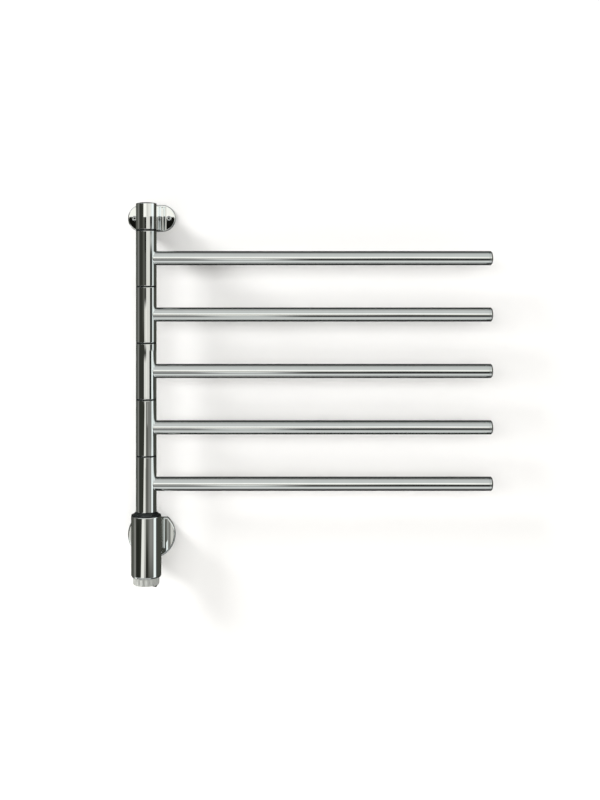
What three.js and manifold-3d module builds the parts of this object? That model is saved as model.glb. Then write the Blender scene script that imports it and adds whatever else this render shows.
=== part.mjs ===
// Wall-hung towel warmer with swivelling arms. Millimetres, +Z up.
// +X runs along the arms at rest, +Y runs into the wall, and the origin is the
// centre of the upper wall plate's back face. Every arm turns about the post.

import * as THREE from 'three';
import { mergeVertices } from 'three/addons/utils/BufferGeometryUtils.js';
import Module from 'manifold-3d';

const wasm = await Module();
wasm.setup();

// ---- Driving sizes ----
const CLEARANCE = 0.3;            // gap between fitted or touching pieces
const POST_TO_WALL = 82;          // wall plane to post axis
const POST_DIAMETER = 30.8;       // hubs, top ring and cap
const SPINDLE_DIAMETER = 22;      // fixed core that the hubs turn on
const SPINDLE_BORE = 14;
const SPINDLE_TAIL = 16;          // length below the housing's end wall
const SPINDLE_WINDOW = 8;         // height of a wiring window
const SPINDLE_WINDOW_BACK = 2;    // window's rear edge behind the axis

const ARM_COUNT = 5;
const ARM_PITCH = 84.6;             // hub length plus one seam
const ARM_REACH = 520;            // post axis to the tip of the end cap
const ARM_DIAMETER = 21.2;
const ARM_WALL = 1.5;
const HUB_WALL = 2;
const HUB_LEAD_HOLE = 8;
const SEAM = 2;                   // height of the dark line between hubs
const WASHER_RECESS = 0.5;        // washer edge inside the hub's surface
const BUSH_LENGTH = 10;
const END_CAP_RIM = 2.2;
const END_CAP_DOME = 3.2;
const END_CAP_SPIGOT = 14;
const END_CAP_BREAK = [0.75, 0.7]; // dome's break: share of radius, share of height
const HEATER_DIAMETER = 8;
const HEATER_COLLAR_LENGTH = 6;
const HEATER_LEAD_DIAMETER = 5;
const HEATER_INSET = 4.6;         // hub surface to the inner end of the rod
const HEATER_END_GAP = 10;        // rod end to the cap's spigot
const HEATER_LEAD_GAP = 1;        // lead's end to the spindle

const RING_TOP = 19.7;            // top ring, above the upper plate's centre
const RING_BOTTOM = -18.6;
const CAP_HEIGHT = 2;
const CAP_SPIGOT = 6;
const CAP_CROWN = 0.4;
const CAP_CHAMFER = 0.9;

const UPPER_PLATE_WIDTH = 74;
const UPPER_PLATE_HEIGHT = 41.7;
const UPPER_PLATE_THICKNESS = 5;
const PLATE_BEVEL = 1.6;
const UPPER_SCREW_EDGE = 10.3;    // screw to the plate's end
const SCREW_SHANK = 4.6;
const UPPER_SCREW_HEAD = 8.4;
const UPPER_SCREW_HEAD_HEIGHT = 2.4;
const SCREW_SOCKET = 3.2;
const SCREW_SOCKET_DEPTH = 1.5;
const SCREW_HEAD_EDGE = 0.6;      // straight share of a screw head's height
const SCREW_HEAD_TOP = 0.7;       // flat share of its width, and deepest socket share

const UPPER_NECK_DROP = 1.5;      // neck's top below the ring's
const UPPER_NECK_ROOT = 25;       // width where the neck meets the ring
const NECK_TO_SCREW = 7.0;        // neck's foot to a wall screw's head
const LOWER_NECK_DROP = 16.5;     // housing's top to the neck's
const LOWER_NECK_HEIGHT = 48;
const LOWER_NECK_ROOT = 38.5;
const LOWER_NECK_FOOT = 41.5;
const NECK_FLARE = 3.5;           // depth over which a neck widens
const FLARE_LIFT = 1.6;           // how late the flare turns outwards
const BOSS_WIDTH = 18;            // square boss that a neck is locked on
const BOSS_LENGTH = 11;
const GRUB_SCREW = 4;
const GRUB_RECESS = 1;
const UPPER_NECK_START = 9;       // upper neck's front edge behind the post axis
const LOWER_NECK_START = 12;      // lower neck's front edge behind the post axis

const LOWER_FLANGE_DROP = 43.4;   // housing's top to the flange's centre
const LOWER_FLANGE_DIAMETER = 73.5;
const LOWER_FLANGE_THICKNESS = 7.5;
const LOWER_FLANGE_BEVEL = 2.2;
const MOUNT_PLATE_DIAMETER = 44;
const MOUNT_PLATE_THICKNESS = 3;
const MOUNT_SCREW_EDGE = 7;
const MOUNT_SCREW_HEAD = 7.6;
const MOUNT_SCREW_HEAD_HEIGHT = 1.8;
const GROMMET_DIAMETER = 16;
const GROMMET_LIP = 1.4;
const LEAD_CHANNEL = 10;          // wiring way through flange, neck and housing
const SUPPLY_LEAD_DIAMETER = 6;
const LEAD_BEND = 7;

const SHOULDER_HEIGHT = 5.7;      // black bearing cone under the lowest hub
const SHOULDER_EDGE = 1;
const SHOULDER_SETBACK = 0.3;     // cone edge inside the housing's surface
const HOUSING_DIAMETER = 45;
const HOUSING_WALL = 2.5;
const HOUSING_LENGTH = 91.3;
const HOUSING_END_WALL = 4;
const HOUSING_TOP_CHAMFER = 0.8;
const HOUSING_FOOT_CHAMFER = 1.4;
const HOUSING_FOOT_BEVEL_HEIGHT = 2.2;
const HOUSING_LIP_WALL = 5.5;
const HOUSING_LIP_HEIGHT = 8;
const LOCK_NUT_WALL = 3;
const LOCK_NUT_HEIGHT = 8;
const TERMINAL_DROP = 53;         // housing's top to the terminal block's
const TERMINAL_HEIGHT = 14;
const TERMINAL_DEPTH = 22;        // across its two flats
const LOOM_DIAMETER = 10;
const LOOM_TO_LEAD = 1.3;

const COLLAR_SETBACK = 1.45;      // clear fluted collar inside the housing's foot
const COLLAR_HEIGHT = 11.4;
const COLLAR_WALL = 2.25;
const COLLAR_FLUTES = 16;
const COLLAR_FLUTE_DEPTH = 0.6;
// One flute: share of its pitch, share of its depth.
const COLLAR_FLUTE_PROFILE = [[0, 0], [0.5, 0], [0.65, 1], [0.85, 1]];
const COLLAR_FLOOR = 2.3;         // thickness that carries the switch bezel
const COLLAR_SPIGOT_LENGTH = 7;
const COLLAR_SPIGOT_WALL = 2.4;
const SWITCH_GAP = 6;             // terminal block to the switch body
const SWITCH_BEZEL_HEIGHT = 7.6;
const ROCKER_WIDTH = 15;
const ROCKER_THICKNESS = 6.4;
const ROCKER_PROUD = 2.2;         // rocker ends below the collar's rim when level
const ROCKER_DISH = 1.2;
const ROCKER_REST_TILT = 5;       // degrees, the end along +X pressed out
const ROCKER_PIN_DIAMETER = 2.4;
const ROCKER_SIDE_GAP = 0.3;
const ROCKER_SWING_GAP = 2;       // room above the rocker's ends
const ROCKER_PIN_DEPTH = 4.2;     // dished face to the pin's axis
const ROCKER_PIN_REACH = 4;       // pin beyond each side of the rocker
const ROCKER_BACK = 0.35;         // flat share of the rocker's back

const POST_SEGMENTS = 32;
const ARM_SEGMENTS = 24;
const BUSH_SEGMENTS = 16;
const SMALL_SEGMENTS = 12;
const FLANGE_CURVE_SEGMENTS = 28;
const PLATE_CURVE_SEGMENTS = 10;
const NECK_CURVE_SEGMENTS = 6;
const LEAD_CURVE_SEGMENTS = 5;
const LEAD_STEPS = 14;
const RUNNING_EXTRA = 0.2;        // faceted bores run this much wider on the spindle
const OVERLAP = 1;                // joined bodies and cutters run this far past a face
const CUTTER_WIDTH = 400;         // wider than any plate

// ---- Derived places ----
const postRadius = POST_DIAMETER / 2;
const spindleRadius = SPINDLE_DIAMETER / 2;
const boreOnSpindle = spindleRadius + CLEARANCE;
const runningBore = boreOnSpindle + RUNNING_EXTRA;
const spindleTop = RING_TOP - CAP_SPIGOT - CLEARANCE;
const hubLength = ARM_PITCH - SEAM;
const hubBore = postRadius - HUB_WALL;
const firstHubTop = RING_BOTTOM - SEAM;
const lastHubBottom = firstHubTop - (ARM_COUNT - 1) * ARM_PITCH - hubLength;
const armRadius = ARM_DIAMETER / 2;
const armBore = armRadius - ARM_WALL;
const shoulderTop = lastHubBottom - CLEARANCE;
const housingRadius = HOUSING_DIAMETER / 2;
const housingBore = housingRadius - HOUSING_WALL;
const housingTop = shoulderTop - SHOULDER_HEIGHT - CLEARANCE;
const housingBottom = housingTop - HOUSING_LENGTH;
const housingCeiling = housingTop - HOUSING_END_WALL;
const lipRadius = housingRadius - HOUSING_LIP_WALL;
const collarRadius = housingRadius - HOUSING_FOOT_CHAMFER - COLLAR_SETBACK;
const mouthRadius = collarRadius - COLLAR_WALL;
const switchRadius = lipRadius - COLLAR_SPIGOT_WALL - 2 * CLEARANCE;
const collarTop = housingBottom - CLEARANCE;
const collarRim = collarTop - COLLAR_HEIGHT;
const collarMouthTop = collarTop - COLLAR_FLOOR;
const bezelTop = collarMouthTop - CLEARANCE;
const bezelBottom = bezelTop - SWITCH_BEZEL_HEIGHT;
const terminalTop = housingTop - TERMINAL_DROP;
const switchBodyTop = terminalTop - TERMINAL_HEIGHT - SWITCH_GAP;
const rockerEndBottom = collarRim - ROCKER_PROUD;
const rockerPinHeight = rockerEndBottom + ROCKER_DISH + ROCKER_PIN_DEPTH;
const rockerRadius = mouthRadius - 2 * CLEARANCE;
const pinHalfLength = ROCKER_WIDTH / 2 + ROCKER_PIN_REACH;
const upperNeckTop = RING_TOP - UPPER_NECK_DROP;
const lowerNeckTop = housingTop - LOWER_NECK_DROP;
const lowerNeckBottom = lowerNeckTop - LOWER_NECK_HEIGHT;
const lowerFlangeCentre = housingTop - LOWER_FLANGE_DROP;
const upperNeckBack = -(UPPER_PLATE_THICKNESS + CLEARANCE);
const lowerNeckBack = -(LOWER_FLANGE_THICKNESS + CLEARANCE);
const upperScrewOffset = UPPER_PLATE_WIDTH / 2 - UPPER_SCREW_EDGE;
const upperNeckFoot = 2 * (upperScrewOffset - UPPER_SCREW_HEAD / 2 - NECK_TO_SCREW);
const mountScrewOffset = MOUNT_PLATE_DIAMETER / 2 - MOUNT_SCREW_EDGE;
const mountPocket = MOUNT_PLATE_THICKNESS + MOUNT_SCREW_HEAD_HEIGHT + 2 * CLEARANCE;
const capSeam = ARM_REACH - END_CAP_DOME - END_CAP_RIM;

// ---- Materials ----
const finishes = {
  chrome: { color: 0xd7dadb, roughness: 0.06, metalness: 1 },
  steel: { color: 0xa9acad, roughness: 0.35, metalness: 1 },
  nylon: { color: 0x141414, roughness: 0.45, metalness: 0 },
  bush: { color: 0xd9d5c8, roughness: 0.6, metalness: 0 },
  heater: { color: 0x6d6f70, roughness: 0.5, metalness: 1 },
  rubber: { color: 0x1b1b1b, roughness: 0.8, metalness: 0 },
  ceramic: { color: 0xe7e2d6, roughness: 0.55, metalness: 0 },
  clear: { color: 0xb9bcba, roughness: 0.25, metalness: 0 },
  switch: { color: 0x0d0d0e, roughness: 0.2, metalness: 0 },
};

function part(name, geometry, finish) {
  const mesh = new THREE.Mesh(geometry, new THREE.MeshStandardMaterial(finishes[finish]));
  mesh.name = name;
  return mesh;
}

// ---- Geometry helpers ----
const aboutZ = (geometry) => geometry.rotateX(Math.PI / 2);
const zToX = (geometry) => geometry.rotateY(Math.PI / 2);

// Profile points are [radius, height], rising on the outside.
function revolve(profile, segments) {
  const points = profile.map(([radius, height]) => new THREE.Vector2(radius, height));
  return aboutZ(new THREE.LatheGeometry(points, segments));
}

function ring(outer, inner, low, high, segments) {
  const profile = [[inner, low], [outer, low], [outer, high], [inner, high], [inner, low]];
  return revolve(profile, segments);
}

function rod(radius, low, high, segments) {
  return revolve([[0, low], [radius, low], [radius, high], [0, high]], segments);
}

function box(size, centre) {
  return new THREE.BoxGeometry(...size).translate(...centre);
}

function extrude(shape, low, high, curveSegments = 12) {
  const options = { depth: high - low, bevelEnabled: false, curveSegments };
  return new THREE.ExtrudeGeometry(shape, options).translate(0, 0, low);
}

// Closed geometry to a manifold solid: shared corners, no collapsed triangles.
function solid(geometry) {
  const bare = geometry.clone();
  bare.deleteAttribute('normal');
  bare.deleteAttribute('uv');
  const merged = mergeVertices(bare, 1e-4);
  const index = merged.index.array;
  const kept = [];
  for (let i = 0; i < index.length; i += 3) {
    const [a, b, c] = index.slice(i, i + 3);
    if (a !== b && b !== c && c !== a) {
      kept.push(a, b, c);
    }
  }
  return new wasm.Manifold(new wasm.Mesh({
    numProp: 3,
    vertProperties: new Float32Array(merged.attributes.position.array),
    triVerts: new Uint32Array(kept),
  }));
}

function geometryOf(manifold) {
  const mesh = manifold.getMesh();
  const geometry = new THREE.BufferGeometry();
  geometry.setAttribute('position', new THREE.BufferAttribute(mesh.vertProperties, 3));
  geometry.setIndex(new THREE.BufferAttribute(mesh.triVerts, 1));
  geometry.computeVertexNormals();
  return geometry;
}

function joined(first, ...others) {
  return others.reduce((sum, other) => sum.add(solid(other)), solid(first));
}

function cut(body, ...tools) {
  return tools.reduce((rest, tool) => rest.subtract(solid(tool)), body);
}

// ---- Wall pieces, drawn with +Z pointing out of the wall ----
function obround(width, height) {
  const radius = height / 2;
  const reach = width / 2 - radius;
  const shape = new THREE.Shape();
  shape.moveTo(-reach, -radius);
  shape.lineTo(reach, -radius);
  shape.absarc(reach, 0, radius, -Math.PI / 2, Math.PI / 2, false);
  shape.lineTo(-reach, radius);
  shape.absarc(-reach, 0, radius, Math.PI / 2, Math.PI * 1.5, false);
  return shape;
}

// Disc outline with its top cut flat, level with the neck that stands on it.
function flatTopDisc(radius, flatHeight) {
  const start = Math.asin(flatHeight / radius);
  const shape = new THREE.Shape();
  shape.absarc(0, 0, radius, Math.PI - start, 2 * Math.PI + start, false);
  shape.closePath();
  return shape;
}

// Plate with a bevel round its front edge and a square edge at the wall.
function bevelledPlate(shape, thickness, bevel, curveSegments) {
  const both = new THREE.ExtrudeGeometry(shape, {
    depth: 2 * (thickness - bevel),
    bevelThickness: bevel,
    bevelSize: bevel,
    bevelOffset: -bevel,
    bevelSegments: 1,
    curveSegments,
  }).translate(0, 0, bevel - thickness);
  const behind = box([CUTTER_WIDTH, CUTTER_WIDTH, 2 * thickness], [0, 0, -thickness]);
  return cut(solid(both), behind);
}

function boss(front) {
  const size = BOSS_WIDTH - 2 * CLEARANCE;
  const root = front - OVERLAP;
  const length = BOSS_LENGTH + OVERLAP;
  return box([size, size, length], [0, 0, root + length / 2]);
}

function upperWallPlate() {
  const outline = obround(UPPER_PLATE_WIDTH, UPPER_PLATE_HEIGHT);
  const plate = bevelledPlate(outline, UPPER_PLATE_THICKNESS, PLATE_BEVEL,
    PLATE_CURVE_SEGMENTS);
  const withBoss = plate.add(solid(boss(UPPER_PLATE_THICKNESS)));
  const hole = rod(SCREW_SHANK / 2 + CLEARANCE, -OVERLAP, UPPER_PLATE_THICKNESS + OVERLAP,
    SMALL_SEGMENTS);
  return geometryOf(cut(
    withBoss,
    hole.clone().translate(upperScrewOffset, 0, 0),
    hole.clone().translate(-upperScrewOffset, 0, 0)));
}

// Shank from the wall plane, then a low domed head with a round socket.
function wallScrew(plateThickness, headDiameter, headHeight) {
  const under = plateThickness + CLEARANCE;
  const top = under + headHeight;
  const edge = under + SCREW_HEAD_EDGE * headHeight;
  const socketDepth = Math.min(SCREW_SOCKET_DEPTH, SCREW_HEAD_TOP * headHeight);
  return revolve([
    [0, CLEARANCE],
    [SCREW_SHANK / 2, CLEARANCE],
    [SCREW_SHANK / 2, under],
    [headDiameter / 2, under],
    [headDiameter / 2, edge],
    [SCREW_HEAD_TOP * headDiameter / 2, top],
    [SCREW_SOCKET / 2, top],
    [SCREW_SOCKET / 2, top - socketDepth],
    [0, top - socketDepth],
  ], SMALL_SEGMENTS);
}

function lowerWallFlange() {
  const flat = lowerNeckTop - lowerFlangeCentre;
  const outline = flatTopDisc(LOWER_FLANGE_DIAMETER / 2, flat);
  const plate = bevelledPlate(outline, LOWER_FLANGE_THICKNESS, LOWER_FLANGE_BEVEL,
    FLANGE_CURVE_SEGMENTS);
  const withBoss = plate.add(solid(boss(LOWER_FLANGE_THICKNESS)));
  const pocket = rod(MOUNT_PLATE_DIAMETER / 2 + CLEARANCE, -OVERLAP, mountPocket,
    POST_SEGMENTS);
  const channel = rod(LEAD_CHANNEL / 2, -OVERLAP,
    LOWER_FLANGE_THICKNESS + BOSS_LENGTH + OVERLAP, SMALL_SEGMENTS);
  return geometryOf(cut(withBoss, pocket, channel));
}

function lowerMountPlate() {
  const plate = rod(MOUNT_PLATE_DIAMETER / 2, 0, MOUNT_PLATE_THICKNESS, POST_SEGMENTS);
  const through = [-OVERLAP, MOUNT_PLATE_THICKNESS + OVERLAP, SMALL_SEGMENTS];
  const hole = rod(SCREW_SHANK / 2 + CLEARANCE, ...through);
  return geometryOf(cut(
    solid(plate),
    rod(GROMMET_DIAMETER / 2 + CLEARANCE, ...through),
    hole.clone().translate(mountScrewOffset, 0, 0),
    hole.clone().translate(-mountScrewOffset, 0, 0)));
}

function cableGrommet() {
  const bore = SUPPLY_LEAD_DIAMETER / 2 + CLEARANCE;
  const body = GROMMET_DIAMETER / 2;
  const lip = body + GROMMET_LIP;
  const front = MOUNT_PLATE_THICKNESS + CLEARANCE;
  return revolve([
    [bore, 0],
    [body, 0],
    [body, front],
    [lip, front],
    [lip, front + GROMMET_LIP],
    [bore, front + GROMMET_LIP],
    [bore, 0],
  ], SMALL_SEGMENTS);
}

// ---- Necks between post and wall, drawn in place ----
// Plan outline: straight root, then a hollow flare out to the foot at the wall.
function neckPlan(root, foot, front, back) {
  const flareStart = back - NECK_FLARE;
  const shape = new THREE.Shape();
  shape.moveTo(-root / 2, front);
  shape.lineTo(root / 2, front);
  shape.lineTo(root / 2, flareStart);
  shape.quadraticCurveTo(root / 2, back - FLARE_LIFT, foot / 2, back);
  shape.lineTo(-foot / 2, back);
  shape.quadraticCurveTo(-root / 2, back - FLARE_LIFT, -root / 2, flareStart);
  shape.closePath();
  return shape;
}

function bossPocket(back, height) {
  const depth = BOSS_LENGTH + CLEARANCE;
  const size = [BOSS_WIDTH, depth + OVERLAP, BOSS_WIDTH];
  return box(size, [0, back + OVERLAP - size[1] / 2, height]);
}

const grubScrewY = (back) => back - BOSS_LENGTH / 2;

function grubHole(back, bottom, bossCentre) {
  const hole = rod(GRUB_SCREW / 2 + CLEARANCE, bottom - OVERLAP, bossCentre, SMALL_SEGMENTS);
  return hole.translate(0, grubScrewY(back), 0);
}

function grubScrew(back, bottom, bossCentre) {
  const high = bossCentre - BOSS_WIDTH / 2;
  return rod(GRUB_SCREW / 2, bottom, high, SMALL_SEGMENTS).translate(0, grubScrewY(back), 0);
}

function upperBracket() {
  const front = UPPER_NECK_START - POST_TO_WALL;
  const plan = neckPlan(UPPER_NECK_ROOT, upperNeckFoot, front, upperNeckBack);
  const neck = solid(extrude(plan, RING_BOTTOM, upperNeckTop, NECK_CURVE_SEGMENTS));
  const topRing = rod(postRadius, RING_BOTTOM, RING_TOP, POST_SEGMENTS);
  const bore = rod(boreOnSpindle, RING_BOTTOM - OVERLAP, RING_TOP + OVERLAP, ARM_SEGMENTS);
  const body = neck.add(solid(topRing.translate(0, -POST_TO_WALL, 0)));
  return geometryOf(cut(
    body,
    bore.translate(0, -POST_TO_WALL, 0),
    bossPocket(upperNeckBack, 0),
    grubHole(upperNeckBack, RING_BOTTOM, 0)));
}

function lowerBracket() {
  const front = LOWER_NECK_START - POST_TO_WALL;
  const plan = neckPlan(LOWER_NECK_ROOT, LOWER_NECK_FOOT, front, lowerNeckBack);
  const neck = extrude(plan, lowerNeckBottom, lowerNeckTop, NECK_CURVE_SEGMENTS);
  const round = rod(housingRadius + CLEARANCE, lowerNeckBottom - OVERLAP,
    lowerNeckTop + OVERLAP, 2 * POST_SEGMENTS);
  return geometryOf(cut(
    solid(neck),
    round.translate(0, -POST_TO_WALL, 0),
    leadChannel(),
    bossPocket(lowerNeckBack, lowerFlangeCentre),
    grubHole(lowerNeckBack, lowerNeckBottom, lowerFlangeCentre)));
}

// Straight wiring way from the post axis to the wall.
function leadChannel() {
  const way = rod(LEAD_CHANNEL / 2, 0, POST_TO_WALL, SMALL_SEGMENTS);
  return way.rotateX(Math.PI / 2).translate(0, 0, lowerFlangeCentre);
}

// ---- Pieces on the post axis ----
function topCap() {
  const seat = RING_TOP + CLEARANCE;
  const edge = seat + CAP_HEIGHT - CAP_CROWN;
  return revolve([
    [0, spindleTop + CLEARANCE],
    [spindleRadius, spindleTop + CLEARANCE],
    [spindleRadius, seat],
    [postRadius, seat],
    [postRadius, edge - CAP_CHAMFER],
    [postRadius - CAP_CHAMFER, edge],
    [0, seat + CAP_HEIGHT],
  ], POST_SEGMENTS);
}

function spindle(hubCentres) {
  const tube = ring(spindleRadius, SPINDLE_BORE / 2, housingCeiling - SPINDLE_TAIL, spindleTop,
    ARM_SEGMENTS);
  const width = SPINDLE_DIAMETER + 2 * OVERLAP;
  const depth = SPINDLE_WINDOW_BACK + spindleRadius + OVERLAP;
  const windows = hubCentres.map((height) => box(
    [width, depth, SPINDLE_WINDOW], [0, SPINDLE_WINDOW_BACK - depth / 2, height]));
  return geometryOf(cut(solid(tube), ...windows));
}

function seamWasher() {
  const half = SEAM / 2 - CLEARANCE;
  return ring(postRadius - WASHER_RECESS, runningBore, -half, half, BUSH_SEGMENTS);
}

function shoulderCollar() {
  const bottom = shoulderTop - SHOULDER_HEIGHT;
  const wide = housingRadius - SHOULDER_SETBACK;
  return revolve([
    [boreOnSpindle, bottom],
    [wide, bottom],
    [wide, bottom + SHOULDER_EDGE],
    [postRadius, shoulderTop],
    [boreOnSpindle, shoulderTop],
    [boreOnSpindle, bottom],
  ], POST_SEGMENTS);
}

function controlHousing() {
  const lipTop = housingBottom + HOUSING_LIP_HEIGHT;
  const shell = revolve([
    [lipRadius, housingBottom],
    [housingRadius - HOUSING_FOOT_CHAMFER, housingBottom],
    [housingRadius, housingBottom + HOUSING_FOOT_BEVEL_HEIGHT],
    [housingRadius, housingTop - HOUSING_TOP_CHAMFER],
    [housingRadius - HOUSING_TOP_CHAMFER, housingTop],
    [boreOnSpindle, housingTop],
    [boreOnSpindle, housingCeiling],
    [housingBore, housingCeiling],
    [housingBore, lipTop],
    [lipRadius, lipTop],
    [lipRadius, housingBottom],
  ], POST_SEGMENTS);
  const channel = leadChannel().translate(0, POST_TO_WALL, 0);
  return geometryOf(cut(solid(shell), channel));
}

function lockNut() {
  const corner = (SPINDLE_DIAMETER + 2 * LOCK_NUT_WALL) / Math.sqrt(3);
  const corners = Array.from({ length: 6 }, (_, i) => new THREE.Vector2(
    corner * Math.cos(i * Math.PI / 3), corner * Math.sin(i * Math.PI / 3)));
  const shape = new THREE.Shape(corners);
  shape.holes.push(new THREE.Path().absarc(0, 0, boreOnSpindle, 0, 2 * Math.PI, true));
  const high = housingCeiling - CLEARANCE;
  return extrude(shape, high - LOCK_NUT_HEIGHT, high);
}

function terminalBlock() {
  const block = rod(housingBore - CLEARANCE, terminalTop - TERMINAL_HEIGHT, terminalTop,
    POST_SEGMENTS);
  const slab = box([HOUSING_DIAMETER, TERMINAL_DEPTH, TERMINAL_HEIGHT + 2 * OVERLAP],
    [0, 0, terminalTop - TERMINAL_HEIGHT / 2]);
  return geometryOf(solid(block).intersect(solid(slab)));
}

function leadLoom(topHubCentre) {
  return rod(LOOM_DIAMETER / 2, terminalTop + CLEARANCE, topHubCentre, SMALL_SEGMENTS);
}

// From the wall through grommet, flange and neck, then down to the terminals.
function supplyLead() {
  const drop = (LOOM_DIAMETER + SUPPLY_LEAD_DIAMETER) / 2 + LOOM_TO_LEAD - POST_TO_WALL;
  const path = new THREE.CurvePath();
  const bendStart = new THREE.Vector3(0, drop + LEAD_BEND, lowerFlangeCentre);
  const bend = new THREE.Vector3(0, drop, lowerFlangeCentre);
  const bendEnd = new THREE.Vector3(0, drop, lowerFlangeCentre - LEAD_BEND);
  const start = new THREE.Vector3(0, -CLEARANCE, lowerFlangeCentre);
  const end = new THREE.Vector3(0, drop, terminalTop + CLEARANCE);
  path.add(new THREE.LineCurve3(start, bendStart));
  path.add(new THREE.QuadraticBezierCurve3(bendStart, bend, bendEnd));
  path.add(new THREE.LineCurve3(bendEnd, end));
  const section = new THREE.Shape();
  section.absarc(0, 0, SUPPLY_LEAD_DIAMETER / 2, 0, 2 * Math.PI, false);
  return new THREE.ExtrudeGeometry(section, {
    steps: LEAD_STEPS,
    curveSegments: LEAD_CURVE_SEGMENTS,
    bevelEnabled: false,
    extrudePath: path,
  });
}

// ---- Switch at the foot of the housing ----
function flutedShape(radius, depth, count) {
  const points = [];
  const step = 2 * Math.PI / count;
  for (let i = 0; i < count; i += 1) {
    for (const [share, inset] of COLLAR_FLUTE_PROFILE) {
      const angle = (i + share) * step;
      const r = radius - inset * depth;
      points.push(new THREE.Vector2(r * Math.cos(angle), r * Math.sin(angle)));
    }
  }
  return new THREE.Shape(points);
}

function switchCollar() {
  const outline = flutedShape(collarRadius, COLLAR_FLUTE_DEPTH, COLLAR_FLUTES);
  const skirt = extrude(outline, collarRim, collarTop);
  const spigotTop = collarTop + COLLAR_SPIGOT_LENGTH;
  const below = collarRim - OVERLAP;
  const spigot = rod(lipRadius - CLEARANCE, collarTop - OVERLAP, spigotTop, POST_SEGMENTS);
  const bodyHole = rod(switchRadius + CLEARANCE, below, spigotTop + OVERLAP, POST_SEGMENTS);
  const mouth = rod(mouthRadius, below, collarMouthTop, POST_SEGMENTS);
  return geometryOf(cut(joined(skirt, spigot), bodyHole, mouth));
}

function rockerSlot() {
  const high = rockerPinHeight + ROCKER_THICKNESS / 2 + ROCKER_SWING_GAP;
  const width = ROCKER_WIDTH + 2 * ROCKER_SIDE_GAP;
  const height = high - bezelBottom + OVERLAP;
  return box([2 * collarRadius, width, height], [0, 0, high - height / 2]);
}

function pinBar(radius, halfLength) {
  const bar = rod(radius, -halfLength, halfLength, SMALL_SEGMENTS);
  return bar.rotateX(Math.PI / 2).translate(0, 0, rockerPinHeight);
}

function switchBody() {
  const bezel = rod(mouthRadius - CLEARANCE, bezelBottom, bezelTop, POST_SEGMENTS);
  const body = rod(switchRadius, bezelTop - OVERLAP, switchBodyTop, POST_SEGMENTS);
  const pinHole = pinBar(ROCKER_PIN_DIAMETER / 2 + CLEARANCE, pinHalfLength + CLEARANCE);
  return geometryOf(cut(joined(bezel, body), rockerSlot(), pinHole));
}

// Strip with round ends and a dished face, tilted about its pin as it rests.
function rocker() {
  const plan = solid(rod(rockerRadius, rockerEndBottom - OVERLAP,
    rockerPinHeight + ROCKER_THICKNESS, POST_SEGMENTS));
  const back = rockerPinHeight + ROCKER_THICKNESS / 2;
  const shoulder = back - 2 * ROCKER_SWING_GAP;
  const shape = new THREE.Shape();
  shape.moveTo(-rockerRadius, rockerEndBottom);
  shape.quadraticCurveTo(0, rockerEndBottom + 2 * ROCKER_DISH, rockerRadius, rockerEndBottom);
  shape.lineTo(rockerRadius, shoulder);
  shape.lineTo(ROCKER_BACK * rockerRadius, back);
  shape.lineTo(-ROCKER_BACK * rockerRadius, back);
  shape.lineTo(-rockerRadius, shoulder);
  shape.closePath();
  const strip = extrude(shape, -ROCKER_WIDTH / 2, ROCKER_WIDTH / 2, 6).rotateX(Math.PI / 2);
  const body = cut(solid(strip).intersect(plan),
    pinBar(ROCKER_PIN_DIAMETER / 2 + CLEARANCE, ROCKER_WIDTH));
  const tilt = THREE.MathUtils.degToRad(ROCKER_REST_TILT);
  return geometryOf(body)
    .translate(0, 0, -rockerPinHeight)
    .rotateY(tilt)
    .translate(0, 0, rockerPinHeight);
}

// ---- Arm, drawn about the hub's centre, reaching along +X ----
function armHub() {
  const tube = ring(postRadius, hubBore, -hubLength / 2, hubLength / 2, POST_SEGMENTS);
  const hole = rod(HUB_LEAD_HOLE / 2, 0, POST_DIAMETER, SMALL_SEGMENTS);
  return geometryOf(cut(solid(tube), zToX(hole)));
}

function armTube() {
  const saddleRadius = postRadius + CLEARANCE;
  const root = Math.sqrt(saddleRadius ** 2 - armRadius ** 2) - OVERLAP;
  const tube = ring(armRadius, armBore, root, capSeam - CLEARANCE, ARM_SEGMENTS);
  const saddle = rod(saddleRadius, -ARM_DIAMETER, ARM_DIAMETER, 2 * POST_SEGMENTS);
  return geometryOf(cut(solid(zToX(tube)), saddle));
}

function endCap() {
  const spigot = armBore - CLEARANCE;
  const shoulder = capSeam + END_CAP_RIM;
  const [breakRadius, breakRise] = END_CAP_BREAK;
  return zToX(revolve([
    [0, capSeam - END_CAP_SPIGOT],
    [spigot, capSeam - END_CAP_SPIGOT],
    [spigot, capSeam],
    [armRadius, capSeam],
    [armRadius, shoulder],
    [breakRadius * armRadius, shoulder + breakRise * END_CAP_DOME],
    [0, ARM_REACH],
  ], ARM_SEGMENTS));
}

// Heating rod with two centring collars and its lead end inside the hub.
function heater() {
  const core = HEATER_DIAMETER / 2;
  const collar = armBore - CLEARANCE;
  const end = capSeam - END_CAP_SPIGOT - HEATER_END_GAP;
  const leadEnd = spindleRadius + HEATER_LEAD_GAP;
  const start = postRadius + HEATER_INSET;
  const first = start + 2 * HEATER_COLLAR_LENGTH;
  const last = end - 2 * HEATER_COLLAR_LENGTH;
  return zToX(revolve([
    [0, leadEnd],
    [HEATER_LEAD_DIAMETER / 2, leadEnd],
    [HEATER_LEAD_DIAMETER / 2, start],
    [core, start],
    [core, first],
    [collar, first],
    [collar, first + HEATER_COLLAR_LENGTH],
    [core, first + HEATER_COLLAR_LENGTH],
    [core, last],
    [collar, last],
    [collar, last + HEATER_COLLAR_LENGTH],
    [core, last + HEATER_COLLAR_LENGTH],
    [core, end],
    [0, end],
  ], SMALL_SEGMENTS));
}

function bush(low) {
  return ring(hubBore - CLEARANCE, runningBore, low, low + BUSH_LENGTH, BUSH_SEGMENTS);
}

// ---- Assembly ----
const hubCentres = Array.from({ length: ARM_COUNT }, (_, i) =>
  firstHubTop - hubLength / 2 - i * ARM_PITCH);

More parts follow.
